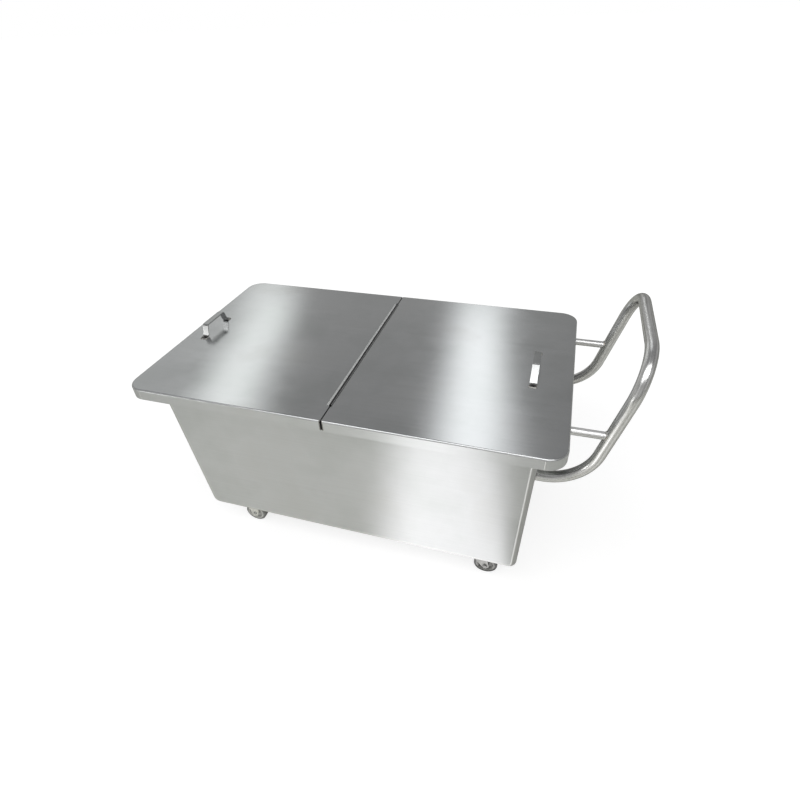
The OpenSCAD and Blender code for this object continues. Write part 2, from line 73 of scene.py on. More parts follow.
# Places and sizes read from the CAD nodes at rest, in millimetres
PIN_LOW, PIN_HIGH = node_box("hinge_pin")
WRAP_LOW, WRAP_HIGH = node_box("tub_wrap")
RIM_HIGH = node_box("rim_flange")[1]
LID_LOW, LID_HIGH = node_box("handle_lid_pan")
BRACE_LOW, BRACE_HIGH = node_box("right_brace")
PADS_LOW, PADS_HIGH = node_box("caster_pads")
PULLS = {end: node_box(end + "_pull") for end in ENDS}
TUB_X = (PIN_LOW.x + PIN_HIGH.x) / 2
FLOOR_Z = WRAP_LOW.z
RIM_Z = RIM_HIGH.z
COVER_Z = LID_HIGH.z
SKIRT_Z = LID_LOW.z
BRACE_Z = (BRACE_LOW.z + BRACE_HIGH.z) / 2
BRACE_R = (BRACE_HIGH.z - BRACE_LOW.z) / 2

# Corners of the push bar's axis on the right side, and where the brace's axis meets it
BAR_RISE = ARM_DROP + BAR_HEIGHT
HANDLE_X = TUB_X + TUB_LENGTH / 2
ARM_CORNER = Vector((HANDLE_X + ARM_REACH, ARM_SPACING / 2, RIM_Z - ARM_DROP))
ARM_ROOT = Vector((HANDLE_X - ARM_DROP * math.tan(SLOPE["handle"]), ARM_CORNER.y, ARM_CORNER.z))
BAR_TOP = Vector((ARM_CORNER.x + BAR_RISE / math.tan(ARM_ANGLE), BAR_TOP_SPACING / 2, RIM_Z + BAR_HEIGHT))
BRACE_END = ARM_CORNER.lerp(BAR_TOP, (BRACE_Z - ARM_CORNER.z) / BAR_RISE)

# Weld beads: the radius, and how far the bead's middle stands off the sheet, in millimetres
ARM_BEAD = (2.6, 1.3)
LIP_BEAD = (1.7, 0.4)
PULL_BEAD = (1.7, 0.7)
PAD_BEAD = (2.0, 0.6)
SADDLE_BEAD_R = 1.9
ARM_BEAD_ROOM = 0.6
BRACE_BEAD_ROOM = 0.3
PULL_BEAD_LENGTH = 13.0
PULL_BEAD_CORNER_R = 1.0
PAD_BEAD_CORNER_R = 2.0
BEAD_ARC = math.radians(15)
BEAD_FACETS = 10

# Ground seams: the width and the height, in millimetres
SIDE_SEAM = (3.8, 0.35)
CORNER_SEAM = (2.6, 0.3)
HEM = (5.6, 0.5)
HEM_INSET = 8.2
SEAM_STEP = 40.0
SEAM_BELOW_RIM = 4.0

# Seams of the skirt's corners: their turn from the ends of the arc, and heights from the foot and the top
CORNER_SEAM_TURN = math.radians(1.5)
CORNER_SEAM_FOOT = 0.2
CORNER_SEAM_MIDDLE = 18.0
CORNER_SEAM_TOP = 5.5

# Points of painted shade at the cover's joint, of darkening at the pulls' feet, and where the hinge's painted
# shade gives way to grey: where their rows start and their steps, in millimetres
SKIRT_SHADE_FOOT = 7.5
SKIRT_SHADE_STEP = 4.0
LIP_SHADE_DROP = 28.0
LIP_SHADE_STEP = 6.0
RIM_SHADE_INSET = 2.0
RIM_SHADE_STEP = 9.0
FOOT_DARK_INSET = 4.0
HINGE_UNSHADED_FROM = 2.8
HINGE_UNSHADED_TO = 3.6

# Fineness of the push bar's mesh, in millimetres and radians
BAR_STEP = 12.0
BAR_ARC = math.radians(3)
BAR_FACETS = 48

# Angles above which an edge stays sharp
PIECE_SHARP = math.radians(40)
NODE_SHARP = math.radians(28)


# Node graphs
class Graph:
    """Adds nodes with their inputs given as values or as sockets to link."""

    def __init__(self, tree):
        self.tree = tree
        tree.nodes.clear()

    def add(self, kind, inputs=None, **props):
        node = self.tree.nodes.new("ShaderNode" + kind)
        for key, value in props.items():
            setattr(node, key, value)
        for key, value in (inputs or {}).items():
            if isinstance(value, bpy.types.NodeSocket):
                self.tree.links.new(value, node.inputs[key])
            else:
                node.inputs[key].default_value = value
        return node

    def math(self, op, a, b=0.0):
        return self.add("Math", {0: a, 1: b}, operation=op).outputs[0]

    def coords(self):
        return self.add("TexCoord").outputs["Object"]

    def noise(self, vector, scale, detail=2.0, rough=0.5):
        inputs = {"Vector": vector, "Scale": scale, "Detail": detail, "Roughness": rough}
        return self.add("TexNoise", inputs).outputs["Fac"]

    def remap(self, value, lo, hi, to_lo, to_hi, kind="LINEAR"):
        inputs = {"Value": value, "From Min": lo, "From Max": hi, "To Min": to_lo, "To Max": to_hi}
        return self.add("MapRange", inputs, interpolation_type=kind).outputs["Result"]

    def blend(self, factor, a, b, mode="MIX"):
        node = self.add("Mix", {0: factor}, data_type="RGBA", blend_type=mode)
        for socket, value in ((node.inputs[6], a), (node.inputs[7], b)):
            if isinstance(value, bpy.types.NodeSocket):
                self.tree.links.new(value, socket)
            else:
                socket.default_value = (*value, 1.0)
        return node.outputs[2]

    def ramp(self, value, stops):
        node = self.add("ValToRGB", {0: value})
        elements = node.color_ramp.elements
        while len(elements) < len(stops):
            elements.new(0.5)
        for element, (at, colour) in zip(elements, stops):
            element.position = at
            element.color = (*colour, 1.0)
        return node.outputs[0]

    def stretched(self, coords, scale):
        return self.add("Mapping", {"Vector": coords, "Scale": scale}).outputs[0]

    def bump(self, height, distance, strength, **inputs):
        sockets = {"Height": height, "Distance": distance, "Strength": strength, **inputs}
        return self.add("Bump", sockets).outputs[0]

    def surface(self, shader):
        self.add("OutputMaterial", {"Surface": shader})

    def principled(self, base, level, metallic=1.0, **inputs):
        """Ends a material in one Principled shader of the given colour and roughness."""
        sockets = {"Base Color": base, "Roughness": level, "Metallic": metallic, **inputs}
        self.surface(self.add("BsdfPrincipled", sockets).outputs[0])


def material(name):
    mat = bpy.data.materials.new(name)
    mat.use_nodes = True
    return mat, Graph(mat.node_tree)


def shade(colour, *shares):
    """A colour times one share, or times one share for each channel, at most white."""
    shares = shares * 3 if len(shares) == 1 else shares
    return tuple(min(1.0, c * share) for c, share in zip(colour, shares))


# Steel
WHITE = (1.0, 1.0, 1.0)

# Grain axes, tilted a little so that none lies along a face's normal
AXES = {"x": (1, 0.03, 0), "y": (0.03, 1, 0), "z": (0.03, 0, 1)}


def grain_scale(axis, along, across):
    return tuple(along if a == axis else across for a in "xyz")


def darken_round_spots(g, coords, colour, spots, reach):
    """Darkens the colour round points given in millimetres: painted shade at the cover's joint, darkening at
    the pulls' feet; reach is in metres.
    """
    nearest = None
    for spot in spots:
        point = tuple(c * MM for c in spot)
        d = g.add("VectorMath", {0: coords, 1: point}, operation="DISTANCE").outputs["Value"]
        nearest = d if nearest is None else g.math("MINIMUM", nearest, d)
    wobble = g.math("MULTIPLY", g.noise(coords, 90.0, 3.0), reach * 0.5)
    at = g.remap(g.math("SUBTRACT", nearest, wobble), 0.0, reach, 0.0, 1.0)
    # Painted shade at the joint of the cover; plain darkening at the pulls' feet.
    tint = g.ramp(at, [(0.0, (0.1, 0.1, 0.1)), (0.35, (0.19, 0.18, 0.175)),
                       (0.6, (0.55, 0.53, 0.5)), (1.0, WHITE)])
    return g.blend(1.0, colour, tint, "MULTIPLY")


def across_grain(g, run):
    """The direction across a grain that runs along a direction of the piece."""
    run = g.add("VectorTransform", {"Vector": run}, vector_type="VECTOR", convert_from="OBJECT",
                convert_to="WORLD").outputs[0]
    normal = g.add("NewGeometry").outputs["Normal"]
    return g.add("VectorMath", {0: normal, 1: run}, operation="CROSS_PRODUCT").outputs[0]


def brushed(name, grain, colour=(0.62, 0.63, 0.635), rough=0.2, anisotropy=0.5, wave=0.0022,
            streak=0.022, scuffs=0.02, folds=0.0, spots=(), reach=0.03):
    """Brushed stainless sheet whose grain runs along an axis of the piece.

    Wave is the depth of the sheet's buckles in metres, streak the contrast of the grain. Scuffs and folds
    are roughness added in patches and on the bends. Spots and reach are those of darken_round_spots.
    """
    mat, g = material(name)
    coords = g.coords()
    fine = g.noise(g.stretched(coords, grain_scale(grain, 4.0, 900.0)), 1.0, 3.0, 0.6)
    medium = g.noise(g.stretched(coords, grain_scale(grain, 1.6, 150.0)), 1.0, 3.0, 0.55)
    broad = g.noise(g.stretched(coords, grain_scale(grain, 1.0, 26.0)), 1.0, 2.0)
    smudge = g.noise(coords, 5.0, 4.0, 0.55)
    scuff = g.noise(g.stretched(coords, (37.0, 23.0, 29.0)), 1.0, 6.0, 0.7)
    lines = g.math("ADD", g.math("MULTIPLY", fine, 0.55), g.math("MULTIPLY", medium, 0.3))
    lines = g.math("ADD", lines, g.math("MULTIPLY", broad, 0.15))
    dark, light = shade(colour, 1 - 2.2 * streak), shade(colour, 1 + 1.6 * streak)
    base = g.blend(g.remap(lines, 0.3, 0.7, 0.0, 1.0), dark, light)
    stain = g.ramp(smudge, [(0.3, (0.9, 0.91, 0.9)), (0.55, WHITE), (0.8, (0.97, 0.965, 0.95))])
    base = g.blend(1.0, base, stain, "MULTIPLY")
    if spots:
        base = darken_round_spots(g, coords, base, spots, reach)
    level = g.math("ADD", rough - 0.06, g.math("MULTIPLY", lines, 0.08))
    level = g.math("ADD", level, g.remap(scuff, 0.52, 0.8, 0.0, scuffs))
    level = g.math("ADD", level, g.remap(smudge, 0.3, 0.7, -0.02, 0.03))
    if folds:
        lean = g.add("SeparateXYZ", {0: g.add("TexCoord").outputs["Normal"]}).outputs["Z"]
        level = g.math("ADD", level, g.remap(g.math("ABSOLUTE", lean), 0.8, 0.995, folds, 0.0))
    buckles = g.bump(g.noise(coords, 2.1, 1.5, 0.4), wave, 1.0)
    normal = g.bump(medium, 0.00002, 0.6, Normal=buckles)
    g.principled(base, level, Anisotropic=anisotropy, Tangent=across_grain(g, AXES[grain]), Normal=normal)
    return mat


def satin_tube(name, colour, rough, laid=False):
    """Tube brushed along its length; a laid tube carries its own coordinates and its direction."""
    mat, g = material(name)
    coords = g.coords()
    if laid:
        lines_at = g.add("Attribute", attribute_name="laid").outputs["Vector"]
        run = g.add("Attribute", attribute_name="way").outputs["Vector"]
        along, darkest = "z", 0.55
    else:
        lines_at, run = coords, AXES["x"]
        along, darkest = "x", 0.52
    fine = g.noise(g.stretched(lines_at, grain_scale(along, 7.0, 900.0)), 1.0, 3.0, 0.6)
    broad = g.noise(g.stretched(lines_at, grain_scale(along, 1.6, 200.0)), 1.0, 2.0)
    lines = g.math("ADD", g.math("MULTIPLY", fine, 0.45), g.math("MULTIPLY", broad, 0.55))
    base = g.blend(g.remap(lines, 0.38, 0.6, 0.0, 1.0), shade(colour, darkest), shade(colour, 1.2))
    worn = g.ramp(g.noise(coords, 42.0, 5.0, 0.65), [(0.35, (0.93, 0.93, 0.92)), (0.6, WHITE)])
    base = g.blend(1.0, base, worn, "MULTIPLY")
    if laid:
        mottle = g.ramp(g.noise(coords, 240.0, 3.0, 0.7), [(0.36, (0.86, 0.86, 0.855)), (0.56, WHITE)])
        base = g.blend(1.0, base, mottle, "MULTIPLY")
    # Painted shade: the colour darkens towards the tube's outline, where it turns from the camera.
    facing = g.add("LayerWeight", {"Blend": 0.5}).outputs["Facing"]
    rim = g.ramp(facing, [(0.5, WHITE), (0.8, (0.72, 0.72, 0.71)), (1.0, (0.28, 0.28, 0.275))])
    base = g.blend(1.0, base, rim, "MULTIPLY")
    level = g.math("ADD", rough - 0.05, g.math("MULTIPLY", broad, 0.1))
    g.principled(base, level, Anisotropic=0.6, Tangent=across_grain(g, run))
    return mat


def hinge_metal(name):
    """Hinge steel, painted black as the shade in the joint, and plain grey towards the handle lid."""
    mat, g = material(name)
    coords = g.coords()
    x = g.add("SeparateXYZ", {0: coords}).outputs["X"]
    shade_mottle = g.noise(coords, 160.0, 4.0, 0.6)
    start, stop = (TUB_X + HINGE_UNSHADED_FROM) * MM, (TUB_X + HINGE_UNSHADED_TO) * MM
    unshaded = g.remap(x, start, stop, 0.0, 1.0, "SMOOTHSTEP")
    # Painted shade: the hinge is black where the gap along the joint lies in shade.
    painted_shade = g.ramp(shade_mottle, [(0.3, (0.045, 0.045, 0.047)), (0.7, (0.09, 0.088, 0.085))])
    base = g.blend(unshaded, painted_shade, (0.5, 0.5, 0.5))
    g.principled(base, g.remap(shade_mottle, 0.3, 0.7, 0.36, 0.5))
    return mat


def weld_metal(name, colour=(0.5, 0.49, 0.47), rough=0.38):
    """Bare weld metal with a film of heat colour."""
    mat, g = material(name)
    coords = g.coords()
    film = g.noise(coords, 140.0, 3.0)
    grit = g.noise(coords, 1100.0, 3.0)
    base = g.ramp(film, [(0.3, shade(colour, 0.6)), (0.5, colour), (0.7, shade(colour, 1.15, 1.05, 0.9))])
    level = g.math("ADD", rough - 0.08, g.math("MULTIPLY", grit, 0.2))
    g.principled(base, level, Normal=g.bump(grit, 0.0003, 0.4))
    return mat


# Caster materials
def plated(name, colour=(0.84, 0.84, 0.82), rough=0.28):
    """Zinc-plated pressed steel with a mottled passivate film."""
    mat, g = material(name)
    coords = g.coords()
    spangle = g.add("TexVoronoi", {"Vector": coords, "Scale": 220.0}).outputs["Color"]
    grey = g.add("RGBToBW", {0: spangle}).outputs[0]
    film = g.noise(coords, 45.0, 4.0, 0.6)
    base = g.ramp(film, [(0.3, shade(colour, 0.72)), (0.55, colour), (0.75, shade(colour, 1.08, 1.05, 0.96))])
    level = g.math("ADD", rough - 0.06, g.math("MULTIPLY", grey, 0.12))
    level = g.math("ADD", level, g.remap(film, 0.5, 0.8, 0.0, 0.1))
    g.principled(base, level, Normal=g.bump(film, 0.0003, 0.3))
    return mat


def moulded(name, colour, rough, dust, skin_scale, skin_depth):
    """Moulded rubber or plastic with dust and a fine skin."""
    mat, g = material(name)
    coords = g.coords()
    cloud = g.noise(coords, 38.0, 5.0, 0.6)
    skin = g.noise(coords, skin_scale, 3.0, 0.6)
    light = tuple(c + (0.5 - c) * dust for c in colour)
    base = g.blend(g.remap(cloud, 0.4, 0.75, 0.0, 1.0), colour, light)
    level = g.math("ADD", rough - 0.1, g.math("MULTIPLY", skin, 0.2))
    g.principled(base, level, 0.0, Normal=g.bump(skin, skin_depth, 0.5))
    return mat


def rubber(name, colour, rough):
    return moulded(name, colour, rough, dust=0.16, skin_scale=900.0, skin_depth=0.0002)


def nylon(name, colour, rough):
    return moulded(name, colour, rough, dust=0.2, skin_scale=700.0, skin_depth=0.0001)


# Meshes
def new_piece(name, bm, mat, body):
    """A piece from a mesh, with its material, riding on a body."""
    bmesh.ops.recalc_face_normals(bm, faces=bm.faces)
    mesh = bpy.data.meshes.new(name)
    bm.to_mesh(mesh)
    bm.free()
    mesh.shade_smooth()
    mesh.set_sharp_from_angle(angle=PIECE_SHARP)
    mesh.materials.append(mat)
    obj = bpy.data.objects.new(name, mesh)
    SCENE.collection.objects.link(obj)
    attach(obj, body)
    return obj


def sweep(bm, points, radius, sides, closed=False, ends=None, layers=None):
    """Sweeps a circle along points, all in metres; radius may be a list.

    Ends is a function that moves the points of the end rings. Layers are the two vertex layers that take
    the place round and along the tube, and its direction.
    """
    count = len(points)
    radii = radius if isinstance(radius, list) else [radius] * count
    tangents = []
    for i, p in enumerate(points):
        a = points[i - 1] if i or closed else p
        b = points[(i + 1) % count] if i < count - 1 or closed else p
        tangents.append((b - a).normalized())
    side = tangents[0].orthogonal().normalized()
    rings, run = [], 0.0
    for i, p in enumerate(points):
        t = tangents[i]
        side = (side - side.dot(t) * t).normalized()
        up = t.cross(side)
        if i:
            run += (p - points[i - 1]).length
        ring = []
        for k in range(sides):
            a = 2 * math.pi * k / sides
            spot = p + (side * math.cos(a) + up * math.sin(a)) * radii[i]
            if ends and i in (0, count - 1):
                spot = ends(spot)
            v = bm.verts.new(spot)
            if layers:
                v[layers[0]] = (radii[i] * math.cos(a), radii[i] * math.sin(a), run)
                v[layers[1]] = t
            ring.append(v)
        rings.append(ring)
    pairs = list(zip(rings, rings[1:])) + ([(rings[-1], rings[0])] if closed else [])
    for i, (lo, hi) in enumerate(pairs):
        shift = 0
        if closed and i == len(pairs) - 1:
            shift = min(range(sides), key=lambda s: (lo[0].co - hi[s].co).length)
        for k in range(sides):
            m = (k + 1) % sides
            bm.faces.new((lo[k], lo[m], hi[(m + shift) % sides], hi[(k + shift) % sides]))
    if not closed:
        bm.faces.new(rings[0])
        bm.faces.new(rings[-1])


def rounded_path(corners, radii, step=math.radians(5)):
    """Points along straight legs with arcs at the corners, in the units of the corners."""
    points = [Vector(corners[0])]
    for i in range(1, len(corners) - 1):
        p, r = Vector(corners[i]), radii[i]
        u = (p - Vector(corners[i - 1])).normalized()
        w = (Vector(corners[i + 1]) - p).normalized()
        turn = u.angle(w)
        start = p - u * r * math.tan(turn / 2)
        inward = (w - u * u.dot(w)).normalized()
        centre = start + inward * r
        steps = max(2, math.ceil(turn / step))
        for k in range(steps + 1):
            a = turn * k / steps
            points.append(centre - inward * r * math.cos(a) + u * r * math.sin(a))
    points.append(Vector(corners[-1]))
    return points


def even(points, step):
    """The same path with points about a step apart."""
    out = [points[0]]
    for a, b in zip(points, points[1:]):
        n = max(1, round((b - a).length / step))
        out += [a.lerp(b, (k + 1) / n) for k in range(n)]
    return out


def on_side(point, sign):
    """A point of the right side, on the side that the sign gives."""
    return Vector((point.x, sign * point.y, point.z))


# Push bar
def build_push_bar(mat):
    """The bar's tube with its own coordinates, so that the brushing follows the bends."""
    right = [ARM_ROOT, ARM_CORNER, BAR_TOP]
    corners = [on_side(p, -1) for p in right] + right[::-1]
    radii = [0, ARM_BEND_R, BAR_BEND_R, BAR_BEND_R, ARM_BEND_R, 0]
    path = [p * MM for p in even(rounded_path(corners, radii, BAR_ARC), BAR_STEP)]

    def on_wall(spot):
        rise = spot.z - ARM_CORNER.z * MM
        return Vector((spot.x + rise * math.tan(SLOPE["handle"]), spot.y, spot.z))

    bm = bmesh.new()
    bm.verts.layers.float_vector.new("laid")
    bm.verts.layers.float_vector.new("way")
    layers = [bm.verts.layers.float_vector[n] for n in ("laid", "way")]
    sweep(bm, path, BAR_D / 2 * MM, BAR_FACETS, False, on_wall, layers)
    tube = new_piece("push_bar_tube", bm, mat, "tub")
    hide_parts("push_bar")


# Welds
def bead_radii(count, radius, seed, tapered, ripple=0.16, pitch=3):
    """Radii of a weld bead: regular ripples with a slow wander, without random draws."""
    radii = []
    for i in range(count):
        wave = abs(math.sin(math.pi * i / pitch))
        wander = math.sin(0.37 * i + seed) * math.sin(0.11 * i + 2.3 * seed)
        r = radius * (1 + ripple * (wave - 0.5) + 0.1 * wander)
        if tapered:
            r *= min(1.0, 0.45 + 0.3 * min(i, count - 1 - i))
        radii.append(r)
    return radii


def weld(bm, points, radius, seed, closed=True):
    """Adds one bead along points in millimetres; a closed one runs on from the last to the first."""
    path = [p * MM for p in even(points + points[:1] if closed else points, radius * 0.55)]
    if closed:
        path.pop()
    sweep(bm, path, bead_radii(len(path), radius * MM, seed, not closed), BEAD_FACETS, closed)


def circle(centre, radius, lean=0.0, steps=64):
    """A circle across X, leaning with the handle wall."""
    points = []
    for k in range(steps):
        a = 2 * math.pi * k / steps
        y, z = radius * math.cos(a), radius * math.sin(a)
        points.append(centre + Vector((z * math.tan(lean), y, z)))
    return points


def saddle(sign, radius, steps=56):
    """Where a brace meets its arm: lines along X, cut with the arm's cylinder by a quadratic."""
    d = on_side(BAR_TOP - ARM_CORNER, sign).normalized()
    points = []
    for k in range(steps):
        a = 2 * math.pi * k / steps
        w = Vector((0, radius * math.cos(a), radius * math.sin(a)))
        qa = 1 - d.x * d.x
        qb = -2 * d.x * w.dot(d)
        qc = w.length_squared - w.dot(d) ** 2 - (BAR_D / 2) ** 2
        s = (-qb - math.sqrt(qb * qb - 4 * qa * qc)) / (2 * qa)
        points.append(on_side(BRACE_END, sign) + Vector((s, 0, 0)) + w)
    return points


def build_bar_welds(mat):
    bm = bmesh.new()
    for sign in SIDES.values():
        radius, proud = ARM_BEAD
        root = on_side(ARM_ROOT, sign) + Vector((proud, 0, 0))
        weld(bm, circle(root, BAR_D / 2 + ARM_BEAD_ROOM, SLOPE["handle"]), radius, 1.0 + sign)
        weld(bm, saddle(sign, BRACE_R + BRACE_BEAD_ROOM), SADDLE_BEAD_R, 2.0 + sign)
        radius, proud = LIP_BEAD
        lip = Vector((RIM_HIGH.x + proud, sign * BRACE_END.y, BRACE_Z))
        weld(bm, circle(lip, BRACE_R + BRACE_BEAD_ROOM), radius, 3.0 + sign)
    new_piece("bar_welds", bm, mat, "tub")


def build_pull_welds(mat):
    radius, proud = PULL_BEAD
    z = COVER_Z + proud
    for end, (low, high) in PULLS.items():
        bm = bmesh.new()
        for sign in SIDES.values():
            outer, inner = sign * high.y, sign * (high.y - PULL_BEAD_LENGTH)
            corners = [(low.x, inner, z), (low.x, outer, z), (high.x, outer, z), (high.x, inner, z)]
            bends = [0, PULL_BEAD_CORNER_R, PULL_BEAD_CORNER_R, 0]
            weld(bm, rounded_path(corners, bends, BEAD_ARC), radius, 4.0 + sign, closed=False)
        new_piece(end + "_pull_welds", bm, mat, end + "_lid")


def build_pad_welds(mat):
    radius, proud = PAD_BEAD
    z = FLOOR_Z - proud
    bm = bmesh.new()
    for x in (PADS_LOW.x + PAD_HALF_X, PADS_HIGH.x - PAD_HALF_X):
        for sign in SIDES.values():
            y = sign * (PADS_HIGH.y - PAD_HALF_Y)
            near, far = y - PAD_HALF_Y, y + PAD_HALF_Y
            front, back = x - PAD_HALF_X, x + PAD_HALF_X
            corners = [(front, y, z), (front, near, z), (back, near, z), (back, far, z), (front, far, z),
                       (front, y, z)]
            bends = [0] + [PAD_BEAD_CORNER_R] * 4 + [0]
            weld(bm, rounded_path(corners, bends, BEAD_ARC)[:-1], radius, x + sign)
    new_piece("pad_welds", bm, mat, "tub")


# Ground seams
def ribbon(bm, points, normals, width, height, sunk=0.25):
    """A flat crowned strip along points, in millimetres, standing on a surface with the given normals."""
    profile = [(-0.5, -sunk), (-0.5, 0.02), (-0.28, height * 0.8), (0.0, height), (0.28, height * 0.8),
               (0.5, 0.02), (0.5, -sunk)]
    rings = []
    for i, (p, n) in enumerate(zip(points, normals)):
        t = (points[min(i + 1, len(points) - 1)] - points[max(i - 1, 0)]).normalized()
        side = n.cross(t).normalized()
        rings.append([bm.verts.new((p + side * (u * width) + n * h) * MM) for u, h in profile])
    for lo, hi in zip(rings, rings[1:]):
        for k in range(len(profile)):
            m = (k + 1) % len(profile)
            bm.faces.new((lo[k], lo[m], hi[m], hi[k]))
    bm.faces.new(rings[0])
    bm.faces.new(rings[-1])


def bend_x(end):
    """Middle of the bend between the floor and an end wall."""
    slope = SLOPE[end]
    run = (RIM_Z - FLOOR_Z - BEND_R * (1 - math.sin(slope))) / math.cos(slope)
    inset = run * math.sin(slope) + BEND_R * math.cos(slope)
    return TUB_X + ENDS[end] * (TUB_LENGTH / 2 - inset)


def side_seam_path(steps=8):
    """The line between a side panel and the wrap's turned edge, as (x, z)."""
    r, top, down = BEND_R - EDGE_R, RIM_Z - SEAM_BELOW_RIM, 1.5 * math.pi
    arcs = {"nose": (math.pi + SLOPE["nose"], down), "handle": (down, 2 * math.pi - SLOPE["handle"])}
    points = []
    for end, (start, stop) in arcs.items():
        for k in range(steps + 1):
            a = start + (stop - start) * k / steps
            points.append((bend_x(end) + r * math.cos(a), FLOOR_Z + BEND_R + r * math.sin(a)))
    (first_x, first_z), (last_x, last_z) = points[0], points[-1]
    head = (first_x - (top - first_z) * math.tan(SLOPE["nose"]), top)
    tail = (last_x + (top - last_z) * math.tan(SLOPE["handle"]), top)
    return [head] + points + [tail]


def build_side_seams(mat):
    for side, sign in SIDES.items():
        path = even([Vector((x, sign * WRAP_HIGH.y, z)) for x, z in side_seam_path()], SEAM_STEP)
        bm = bmesh.new()
        ribbon(bm, path, [Vector((0, sign, 0))] * len(path), *SIDE_SEAM)
        new_piece(side + "_side_seam", bm, mat, "tub")


def build_lid_seams(mat):
    """Ground seams at both ends of each rounded corner of the skirt."""
    heights = (SKIRT_Z + CORNER_SEAM_FOOT, COVER_Z - CORNER_SEAM_MIDDLE, COVER_Z - CORNER_SEAM_TOP)
    for end, way in ENDS.items():
        bm = bmesh.new()
        for sign in SIDES.values():
            centre = Vector((TUB_X + way * (LID_HIGH.x - TUB_X - COVER_CORNER_R),
                             sign * (LID_HIGH.y - COVER_CORNER_R), 0))
            for a in (CORNER_SEAM_TURN, math.pi / 2 - CORNER_SEAM_TURN):
                n = Vector((way * math.sin(a), sign * math.cos(a), 0))
                path = [centre + n * COVER_CORNER_R + Vector((0, 0, z)) for z in heights]
                ribbon(bm, path, [n] * len(path), *CORNER_SEAM)
        new_piece(end + "_lid_seams", bm, mat, end + "_lid")


def build_hem(mat):
    """The folded hem of the nose half along the hinge."""
    bm = bmesh.new()
    path = even([Vector((TUB_X - HEM_INSET, y, COVER_Z)) for y in (PIN_LOW.y, PIN_HIGH.y)], SEAM_STEP)
    ribbon(bm, path, [Vector((0, 0, 1))] * len(path), *HEM)
    new_piece("nose_lid_hem", bm, mat, "nose_lid")


# CAD nodes
def smooth_nodes():
    for node in NODES.values():
        node.data.shade_smooth()
        node.data.set_sharp_from_angle(angle=NODE_SHARP)


def dress(names, mat):
    for name in names:
        NODES[name].data.materials.clear()
        NODES[name].data.materials.append(mat)


def both_sides(points):
    """Points of the right side, with their mirror images."""
    return [(x, sign * y, z) for sign in SIDES.values() for x, y, z in points]


def dress_cover():
    """The halves, the hinge and the pulls, with painted shade on the skirts at the joint and darkening at the
    pulls' feet.
    """
    foot = SKIRT_Z + SKIRT_SHADE_FOOT
    # Painted shade in the gap where the halves' skirts meet.
    joint = [(TUB_X, LID_HIGH.y, foot + SKIRT_SHADE_STEP * k) for k in range(7)]
    lid = brushed("lid_sheet", "x", folds=0.16, spots=both_sides(joint), reach=0.0055)
    dress(["nose_lid_pan", "handle_lid_pan"], lid)
    dress(["nose_hinge_leaf", "handle_hinge_leaf", "hinge_pin"], hinge_metal("hinge_metal"))
    for end, (low, high) in PULLS.items():
        feet = both_sides([((low.x + high.x) / 2, high.y - FOOT_DARK_INSET, COVER_Z)])
        strap = brushed(end + "_strap", "y", (0.44, 0.445, 0.445), rough=0.24, anisotropy=0.4, wave=0.0004,
                        spots=feet, reach=0.012)
        dress([end + "_pull"], strap)


def dress_tub():
    """The tub's sheets, with painted shade on the rim and its lip under the joint of the cover."""
    lip_z, rim_y = RIM_Z - LIP_SHADE_DROP, WRAP_HIGH.y + RIM_SHADE_INSET
    # Painted shade on the lip and the rim under the joint of the cover.
    joint = [(TUB_X, RIM_HIGH.y, lip_z + LIP_SHADE_STEP * k) for k in range(5)]
    joint += [(TUB_X, rim_y + RIM_SHADE_STEP * k, RIM_Z) for k in range(6)]
    dress(["rim_flange"], brushed("rim_sheet", "x", rough=0.34, spots=both_sides(joint), reach=0.008))
    dress(["left_side_panel", "right_side_panel"], brushed("side_sheet", "x", rough=0.34, anisotropy=0.8))
    # The wrap's colour is darker than the side sheets': painted shade on its turned edges.
    dress(["tub_wrap"], brushed("wrap_sheet", "z", (0.51, 0.515, 0.515), rough=0.36))
    dress(["caster_pads"], brushed("pad_plate", "y", (0.5, 0.5, 0.5), rough=0.5))
    # The braces' colour is lighter than the sheets' steel: painted light.
    dress(["left_brace", "right_brace"], satin_tube("brace_tube", (0.84, 0.84, 0.835), rough=0.36))


def dress_casters():
    """The nose casters are painted lighter and the handle ones darker: painted light at the nose, painted
    shade under the tub at the handle.
    """
    finishes = {
        "nose": {
            "zinc": plated("zinc_plate"),
            "tread": rubber("tread_rubber", (0.24, 0.24, 0.238), 0.55),
            "core": nylon("core_nylon", (0.6, 0.6, 0.585), 0.4),
        },
        # Painted shade: darker copies of the nose finishes, for the shade under the tub.
        "handle": {
            "zinc": plated("zinc_shaded", (0.42, 0.42, 0.41), 0.36),
            "tread": rubber("tread_shaded", (0.1, 0.1, 0.1), 0.6),
            "core": nylon("core_shaded", (0.32, 0.32, 0.31), 0.45),
        },
    }
    kinds = ("tread", "core", "fork", "plate", "kingpin", "balls", "bush", "axle", "nut")
    for name in NODES:
        end, kind = name.split("_")[0], name.split("_")[-1]
        if end in finishes and kind in kinds:
            dress([name], finishes[end].get(kind, finishes[end]["zinc"]))
    dress(["caster_bolts"], finishes["nose"]["zinc"])


